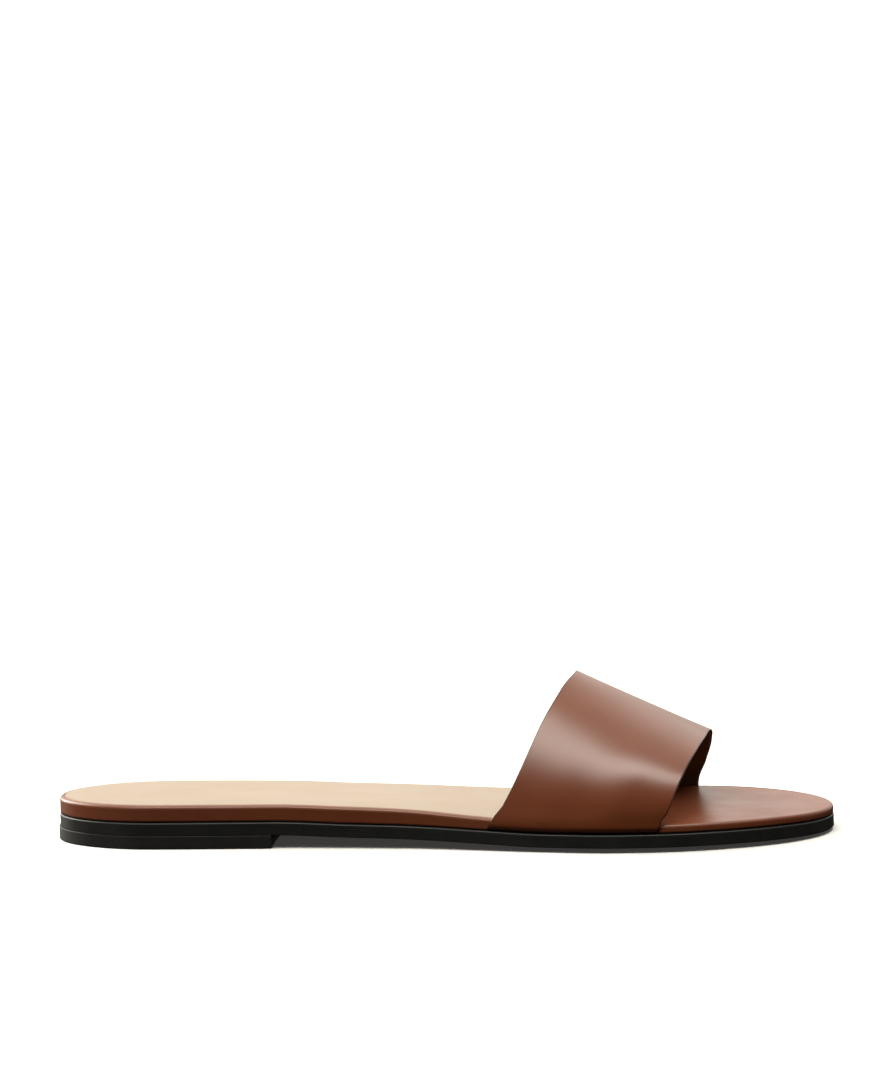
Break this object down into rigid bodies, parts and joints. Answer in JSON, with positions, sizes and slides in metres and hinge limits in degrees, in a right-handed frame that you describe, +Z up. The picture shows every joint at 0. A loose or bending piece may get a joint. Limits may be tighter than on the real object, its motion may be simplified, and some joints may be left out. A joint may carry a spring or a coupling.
{
  "type": "slide sandal",
  "caption": "Flat leather slide sandal for the right foot: one wide strap over a thin leather-covered footbed, black outsole and low heel.",
  "frame": {"origin": "on the floor, under the middle of the outsole's length and width", "axes": "+X from heel to toe, +Y towards the inner side of the foot, +Z up from the floor"},
  "size_m": [0.25, 0.0836, 0.0517],
  "materials": {
    "outsole": "black sole sheet with a smooth painted edge",
    "heel_lift": "black top piece with a smooth painted edge",
    "footbed": "smooth brown leather wrapped round the insole board",
    "sock_liner": "smooth undyed beige lining leather",
    "strap": "smooth semi-gloss brown calf leather with painted edges"
  },
  "bodies": {
    "root": {"outsole": "outsole", "heel_lift": "heel_lift", "footbed": "footbed", "sock_liner": "sock_liner", "strap": "strap"}
  },
  "joints": []
}
